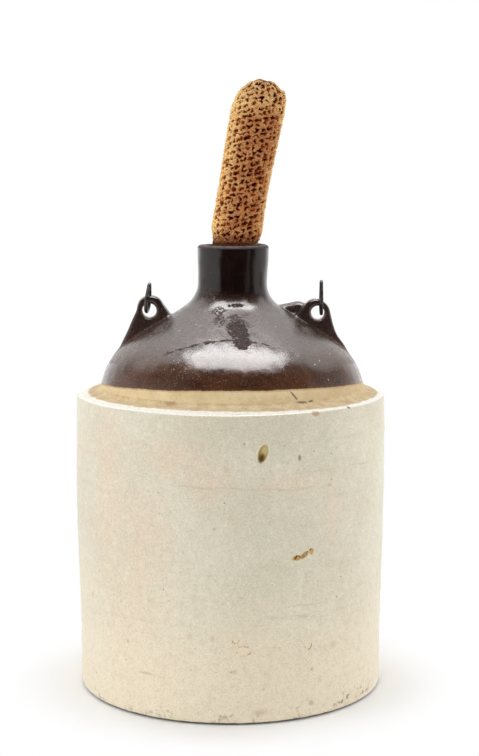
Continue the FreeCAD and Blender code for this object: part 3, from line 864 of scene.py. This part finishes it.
def make_body():
    """Fired wall, ledge and fillet as one grid of rings, with fine relief and masks for its clouds."""
    rows = body_rows()
    turn = np.linspace(0, 2 * math.pi, BODY_COLUMNS, endpoint=False)
    radius, height, offset = (np.repeat(rows[:, i][:, None], BODY_COLUMNS, 1) for i in range(3))
    turns = np.repeat(turn[None, :], len(rows), 0)
    outward = np.stack([np.sin(turns), -np.cos(turns), np.zeros_like(turns)], -1)
    points = outward * radius[..., None]
    points[..., 0] += offset
    points[..., 2] = height
    flat = points.reshape(-1, 3)
    out = outward.reshape(-1, 3)
    tall = height.reshape(-1)
    angle = np.degrees(turns.reshape(-1))
    angle = np.where(angle > 180, angle - 360, angle)

    on_wall = smooth((tall - 1) / 4) * smooth((BODY_HEIGHT + 3 - tall) / 3)
    rings = waves(np.stack([tall * 0, tall * 0, tall], 1), 11, 3, 6) * 0.05
    move = (0.16 * waves(flat, 70, 5, 8) + 0.05 * waves(flat, 14, 6, 8) + rings) * on_wall
    at_corner = np.exp(-((tall - BODY_HEIGHT) / 1.8) ** 2) * (radius.reshape(-1) > 84)
    move += at_corner * (0.16 * waves(flat, 20, 8, 8) - 0.1)
    lift = at_corner * (0.14 * waves(flat, 24, 9, 8) - 0.08)
    for chip in CHIPS:
        ragged = far_on_wall(angle, tall, chip) + 0.2 * waves(flat, 2.2, 21, 6)
        move += -0.42 * smooth((1.15 - ragged) / 0.5) + 0.10 * np.exp(-((ragged - 1.35) / 0.25) ** 2)
    far = np.hypot((angle - IRON_ANGLE) * math.radians(1) * BODY_RADIUS / 2.4, (tall - IRON_SPOT[1]) / 4.2)
    move += 0.10 * smooth((1.2 - far) / 0.6)
    low_pits = np.exp(-((angle - 54) / 9) ** 2) * np.exp(-((tall - 4) / 3) ** 2)
    move -= 0.5 * low_pits * np.clip(waves(flat, 4.5, 31, 8), 0, 1)
    flat = flat + out * move[:, None]
    flat[:, 2] += lift

    faces = grid_faces(len(rows), BODY_COLUMNS)
    piece = new_piece("jug_body", flat, faces, cream_material(), "stoneware_jug")
    wander = 0.22 * waves(flat, 26, 41, 8)
    for name, clouds in (("pink", PINK_CLOUDS), ("green", GREEN_CLOUDS)):
        mask = np.zeros(len(flat))
        for cloud in clouds:
            mask = np.maximum(mask, smooth((1.6 - far_on_wall(angle, tall, cloud) - wander) / 1.3))
        store_mask(piece, name, mask)


# ---- the jug's top

REMESH_SIZE = 0.85
TOP_CUT = DOME_FOOT_Z - 4
NECK_DRIFT = 0.7  # the rim stands a little to the right of the dome


def remeshed_top():
    """Even mesh of the construction above the ledge, cut off flat inside the body."""
    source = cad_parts["stoneware_jug"]
    work = bmesh.new()
    work.from_mesh(source.data)
    bmesh.ops.remove_doubles(work, verts=work.verts, dist=1e-6)
    plane = (TOP_CUT - 6) * MM
    everything = work.verts[:] + work.edges[:] + work.faces[:]
    bmesh.ops.bisect_plane(work, geom=everything, plane_co=(0, 0, plane), plane_no=(0, 0, 1),
                           clear_inner=True)
    bmesh.ops.holes_fill(work, edges=[edge for edge in work.edges if edge.is_boundary])
    mesh = bpy.data.meshes.new("top_work")
    work.to_mesh(mesh)
    work.free()
    piece = placed("top_work", mesh)
    voxels = piece.modifiers.new("even", "REMESH")
    voxels.mode = "VOXEL"
    voxels.voxel_size = REMESH_SIZE * MM
    bpy.context.view_layer.update()
    even = bpy.data.meshes.new_from_object(piece.evaluated_get(bpy.context.evaluated_depsgraph_get()))
    bpy.data.objects.remove(piece)
    work = bmesh.new()
    work.from_mesh(even)
    low = [vertex for vertex in work.verts if vertex.co.z < TOP_CUT * MM]
    bmesh.ops.delete(work, geom=low, context="VERTS")
    work.to_mesh(even)
    work.free()
    return even


def make_top():
    """Dome, neck, ears and lump: the remeshed construction, pulled on to the distance function."""
    mesh = remeshed_top()
    count = len(mesh.vertices)
    flat = np.zeros(count * 3)
    mesh.vertices.foreach_get("co", flat)
    points = pulled_to_surface(flat.reshape(-1, 3) / MM)
    work = bmesh.new()
    work.from_mesh(mesh)
    for vertex, place in zip(work.verts, points):
        vertex.co = place * MM
    for _ in range(3):
        bmesh.ops.smooth_vert(work, verts=[v for v in work.verts if not v.is_boundary], factor=0.5,
                              use_axis_x=True, use_axis_y=True, use_axis_z=True)
    points = pulled_to_surface(np.array([v.co[:] for v in work.verts]) / MM, 3)
    normals_out = np.array([v.normal[:] for v in work.verts])
    above = smooth((points[:, 2] - DOME_FOOT_Z) / 6)
    move = (0.14 * waves(points, 46, 61, 8) + 0.05 * waves(points, 12, 62, 8)) * above
    points = points + normals_out * move[:, None]
    points[:, 0] += NECK_DRIFT * smooth((points[:, 2] - CROWN_Z) / NECK_HEIGHT)
    for vertex, place in zip(work.verts, points):
        vertex.co = place * MM
    bmesh.ops.holes_fill(work, edges=[edge for edge in work.edges if edge.is_boundary])
    faces = [[v.index for v in face.verts] for face in work.faces]
    work.free()
    new_piece("jug_top", points, faces, top_material(), "stoneware_jug")


# ---- the corn cob

COB_AROUND = 288
COB_RINGS = 334
SOCKET_COLUMNS = 22  # sockets shown round the cob
SOCKET_PITCH = 3.2
SOCKET_SCATTER = 0.34  # how far a socket strays in its cell
SOCKET_SQUARE = 2.4  # power of its rounded outline
SOCKET_DEPTH = 2.3
CHAFF_HEIGHT = 0.95
CHAFF_REACH = 1.0  # nothing stands further out than this
TORN_LENGTH = 13  # how much of the tip is torn


def cob_axis(reach):
    lean = COB_FIRST_LEAN + reach / COB_BEND_RADIUS
    sideways = COB_BEND_RADIUS * (math.cos(COB_FIRST_LEAN) - np.cos(lean))
    upward = COB_BEND_RADIUS * (np.sin(lean) - math.sin(COB_FIRST_LEAN))
    return TOP_OFFSET - COB_FOOT_OFFSET + sideways, THROAT_Z + upward, lean


def cob_radius_at(reach, turn):
    """Plug, swelling to the cob, slow unevenness and a slanted, rounded tip."""
    plug_length = THROAT_DEPTH + MOUTH_RADIUS * math.sin(cob_axis(THROAT_DEPTH)[2])
    sideways, height, lean = cob_axis(np.minimum(reach, plug_length))
    share = np.minimum(1, (height - THROAT_Z) / (THROAT_DEPTH - MOUTH_ROUND))
    bore = THROAT_RADIUS + share * (MOUTH_RADIUS - THROAT_RADIUS)
    plug = bore / np.cos(lean) - np.abs(sideways - TOP_OFFSET) - PLUG_CLEARANCE
    plug = np.minimum(plug, 0.9 * COB_RADIUS)
    full = COB_RADIUS + 0.35 * np.sin(reach / 13) + 0.35 * smooth(reach / COB_LENGTH)
    radius = plug + (full - plug) * smooth((reach - plug_length) / PLUG_SHOULDER)
    tip_length = COB_TIP_LENGTH * (COB_TIP_MIDDLE - COB_TIP_SLANT * np.cos(turn))
    into_tip = np.maximum(0, (reach - COB_LENGTH + tip_length) / tip_length)
    return radius * np.sqrt(np.maximum(0, 1 - into_tip ** 2.0))


def sockets(column, row):
    """Depth of the kernel sockets and height of the chaff round them, from 0 to 1."""
    pit = np.zeros_like(column)
    rim = np.zeros_like(column)
    home = np.floor(column)
    for step in (-1, 0, 1):
        cell = home + step
        wrapped = np.mod(cell, SOCKET_COLUMNS)
        drift = 0.5 * np.mod(wrapped, 2) + 0.20 * (hash_cells(wrapped, 0 * cell, 1) - 0.5)
        level = np.floor(row - drift)
        for rise in (-1, 0, 1):
            rank = level + rise
            aside = SOCKET_SCATTER * (hash_cells(wrapped, rank, 2) - 0.5)
            up = SOCKET_SCATTER * (hash_cells(wrapped, rank, 3) - 0.5)
            across = (column - cell - 0.5 - aside) / (0.25 + 0.17 * hash_cells(wrapped, rank, 4))
            along = (row - drift - rank - 0.5 - up) / (0.25 + 0.17 * hash_cells(wrapped, rank, 5))
            far = (np.abs(across) ** SOCKET_SQUARE + np.abs(along) ** SOCKET_SQUARE) ** (1 / SOCKET_SQUARE)
            strength = 0.55 + 0.65 * hash_cells(wrapped, rank, 6)
            pit = np.maximum(pit, strength * smooth((1.45 - far) / 1.25))
            height = 0.35 + 0.65 * hash_cells(wrapped, rank, 7)
            rim = np.maximum(rim, height * np.exp(-((far - 1.42) / 0.26) ** 2))
    return np.clip(pit, 0, 1), rim


def make_cob():
    """Cob on its bent axis, with sockets, chaff, a torn tip and a plain plug, as one grid of rings."""
    reach = np.concatenate([np.linspace(0, THROAT_DEPTH - 1, 12),
                            np.linspace(THROAT_DEPTH, COB_LENGTH - 1.0, COB_RINGS - 22),
                            COB_LENGTH - 1.0 * (1 - np.linspace(0.1, 0.999, 10))])
    turn = np.linspace(0, 2 * math.pi, COB_AROUND, endpoint=False)
    reaches, turns = np.meshgrid(reach, turn, indexing="ij")
    reaches, turns = reaches.ravel(), turns.ravel()
    sideways, height, lean = cob_axis(reaches)
    lean = np.where(reaches == 0, 0, lean)
    column = turns / (2 * math.pi) * SOCKET_COLUMNS + 0.010 * (reaches - THROAT_DEPTH)
    row = (reaches - THROAT_DEPTH) / SOCKET_PITCH
    out = np.stack([np.cos(lean) * np.cos(turns), np.sin(turns), -np.sin(lean) * np.cos(turns)], 1)
    radius = cob_radius_at(reaches, turns)
    centre = np.stack([sideways, 0 * height, height], 1)
    points = centre + out * radius[:, None]
    warp = 0.18 * waves(points, 4.6, 71, 8) + 0.12 * waves(points, 1.7, 74, 10)
    pit, rim = sockets(column + warp, row + warp * 0.8 + 0.10 * waves(points, 2.4, 78, 8))
    start = smooth((reaches - THROAT_DEPTH + 1.5) / PLUG_SHOULDER)
    end = smooth((COB_LENGTH - reaches) / 6 + 0.35)
    alive = start * end
    fuzz = np.clip(waves(points, 1.25, 72, 14), -1, 1.6)
    flakes = np.clip(waves(points, 0.95, 73, 14), 0, 2)
    rough = 0.17 * fuzz + 0.12 * waves(points, 0.8, 79, 14)
    chaff = rim * (0.35 + 0.55 * flakes)
    move = alive * (CHAFF_HEIGHT * chaff - SOCKET_DEPTH * pit + 0.15)
    move = move + rough * smooth((reaches - THROAT_DEPTH + 2) / 4)
    torn = smooth((reaches - COB_LENGTH + TORN_LENGTH) / 10)
    hollows = np.clip(waves(points, 5.5, 76, 8) - 0.3, 0, 1)
    move += torn * (0.4 * waves(points, 9, 75, 8) - 0.9 * hollows)
    points = points + out * np.minimum(move, CHAFF_REACH)[:, None]
    forward = np.stack([np.sin(lean), 0 * lean, np.cos(lean)], 1)
    points += forward * (torn * (0.5 * waves(points, 6, 77, 8) - 0.7 * hollows - 0.2))[:, None]
    dark = np.clip(pit * start, 0, 1) * (0.7 + 0.3 * end) + 0.6 * torn * hollows
    # Painted shade down the cob's front, stored as the mask bare.
    front = smooth(-0.30 - 1.30 * np.sin(turns - 0.3)) * (0.88 + 0.12 * waves(points, 9, 81, 8))
    faces = grid_faces(len(reach), COB_AROUND)
    piece = new_piece("cob_stopper", points, faces, cob_material(), "corn_cob_stopper")
    store_mask(piece, "socket", dark)
    store_mask(piece, "chaff", np.clip(chaff * alive, 0, 1))
    store_mask(piece, "bare", np.clip(front, 0, 1))


# ---- the wire loops

def dress_wires():
    material = wire_material()
    for name in ("wire_loop_left", "wire_loop_right"):
        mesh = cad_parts[name].data
        mesh.materials.clear()
        mesh.materials.append(material)


# ---- studio

CAMERA_PLACE = (0.00535, -0.9516, 0.3073)
CAMERA_DIP = math.radians(7.504)
CAMERA_LENS = 77.04
WORLD_LIGHT = 0.52
FLOOR_HALF = 0.6
FLOOR_LEVEL = -0.0003


def make_camera():
    camera = bpy.data.cameras.new("camera")
    camera.lens = CAMERA_LENS
    camera.sensor_width = 36
    holder = placed("camera", camera)
    holder.location = CAMERA_PLACE
    holder.rotation_euler = (math.pi / 2 - CAMERA_DIP, 0, 0)
    bpy.context.scene.camera = holder


def add_lamp(name, place, aim, size, power, tall=None, shiny=False):
    """Soft rectangular lamp; a shiny one shows only in reflections, the others never do."""
    light = bpy.data.lights.new(name, "AREA")
    light.shape = "RECTANGLE"
    light.size = size
    light.size_y = tall or size
    light.energy = power
    lamp = placed(name, light)
    lamp.location = place
    way = np.array(aim, float) - np.array(place, float)
    level = math.hypot(way[0], way[1])
    lamp.rotation_euler = (math.atan2(level, -way[2]), 0, math.atan2(way[1], way[0]) - math.pi / 2)
    lamp.visible_glossy = shiny
    lamp.visible_diffuse = not shiny


def make_world():
    """White studio: white to the camera, an even light, and in reflections a dark front."""
    world = bpy.data.worlds.new("studio")
    world.use_nodes = True
    bpy.context.scene.world = world
    tree = world.node_tree

    def made(kind, *inputs, **settings):
        node = tree.nodes.new("ShaderNode" + kind)
        for key, value in settings.items():
            setattr(node, key, value)
        for socket, value in zip(node.inputs, inputs):
            if isinstance(value, bpy.types.NodeSocket):
                tree.links.new(value, socket)
            elif value is not None:
                socket.default_value = value
        return node.outputs[0]

    def ramp(value, low, high, to_low=0.0, to_high=1.0):
        return made("MapRange", value, low, high, to_low, to_high, interpolation_type="SMOOTHSTEP")

    def calc(operation, first, second):
        return made("Math", first, second, operation=operation)

    way = tree.nodes.new("ShaderNodeSeparateXYZ")
    tree.links.new(tree.nodes.new("ShaderNodeTexCoord").outputs["Generated"], way.inputs[0])
    x, y, z = way.outputs
    angle = calc("ARCTAN2", x, calc("MULTIPLY", y, -1.0))  # from the front, towards +X
    aside = calc("ABSOLUTE", angle, 0.0)
    left = ramp(angle, -0.62, -0.85)
    right = ramp(angle, 1.15, 1.45, 0.0, 0.85)
    strip = calc("MULTIPLY", ramp(angle, 0.82, 0.87, 0.0, 0.6), ramp(angle, 0.97, 0.91))
    walls = calc("MAXIMUM", calc("MAXIMUM", left, right), strip)
    walls = calc("MULTIPLY", walls, ramp(z, 0.50, 0.28, 0.22, 0.75))
    behind = ramp(aside, 1.55, 2.0)
    above = calc("MULTIPLY", behind, ramp(z, 0.30, 0.66, 0.0, 1.9))
    backdrop = ramp(aside, 2.0, 2.5, 0.0, 1.25)
    mirrored = calc("ADD", calc("MAXIMUM", walls, calc("MAXIMUM", above, backdrop)), 0.02)
    path = tree.nodes.new("ShaderNodeLightPath").outputs
    strength = made("Mix", path["Is Glossy Ray"], None, WORLD_LIGHT, mirrored)
    strength = made("Mix", path["Is Camera Ray"], None, strength, 1.0)
    background = tree.nodes["Background"]
    background.inputs["Color"].default_value = (1, 1, 1, 1)
    tree.links.new(strength, background.inputs["Strength"])


def make_floor():
    """Pale floor that keeps a soft shadow near the jug and turns to plain white further out."""
    s = Shader("studio_floor")
    mesh = bpy.data.meshes.new("studio_floor")
    corners = [(x * FLOOR_HALF, y * FLOOR_HALF, FLOOR_LEVEL) for x, y in ((-1, -1), (1, -1), (1, 1), (-1, 1))]
    mesh.from_pydata(corners, [], [(0, 1, 2, 3)])
    floor = placed("studio_floor", mesh)
    mesh.materials.append(s.material)
    s.finish(srgb(250, 250, 250), 0.9, s.bump(s.noise(2), 0.0, 0.0), Specular_IOR_Level=0.0)
    away = s.span(s.length(s.place), 0.088, 0.135)
    path = s.node("LightPath").outputs
    white = s.node("Emission", Color=(1, 1, 1, 1), Strength=1.0)
    seen = s.most(path["Is Camera Ray"], s.most(path["Is Glossy Ray"], path["Is Transmission Ray"]))
    mixer = s.node("MixShader")
    for socket, value in zip(mixer.inputs, (s.times(away, seen), s.bsdf.outputs[0], white.outputs[0])):
        s.plug(socket, value)
    s.plug(s.tree.nodes["Material Output"].inputs["Surface"], mixer.outputs[0])


def make_lamps():
    middle = (0, 0, 0.14)
    add_lamp("key", (-1.35, -0.55, 0.50), middle, 0.9, 10.0, 1.2)
    add_lamp("front", (-0.1, -1.5, 0.75), middle, 0.8, 4.0, 0.5)
    add_lamp("fill", (1.35, -0.30, 0.40), middle, 1.0, 7.0, 1.2)
    add_lamp("back_left", (-0.9, 1.0, 0.8), middle, 0.8, 6.0)
    add_lamp("back_right", (1.1, 0.8, 0.5), middle, 0.8, 7.0)
    add_lamp("softbox", (0.02, -0.06, 1.3), (0.02, -0.061, 0), 1.10, 26.0, 0.72, shiny=True)


make_camera()
make_world()
make_floor()
make_lamps()
make_body()
make_top()
make_cob()
dress_wires()

bpy.context.scene.view_settings.view_transform = "Standard"
bpy.context.view_layer.update()
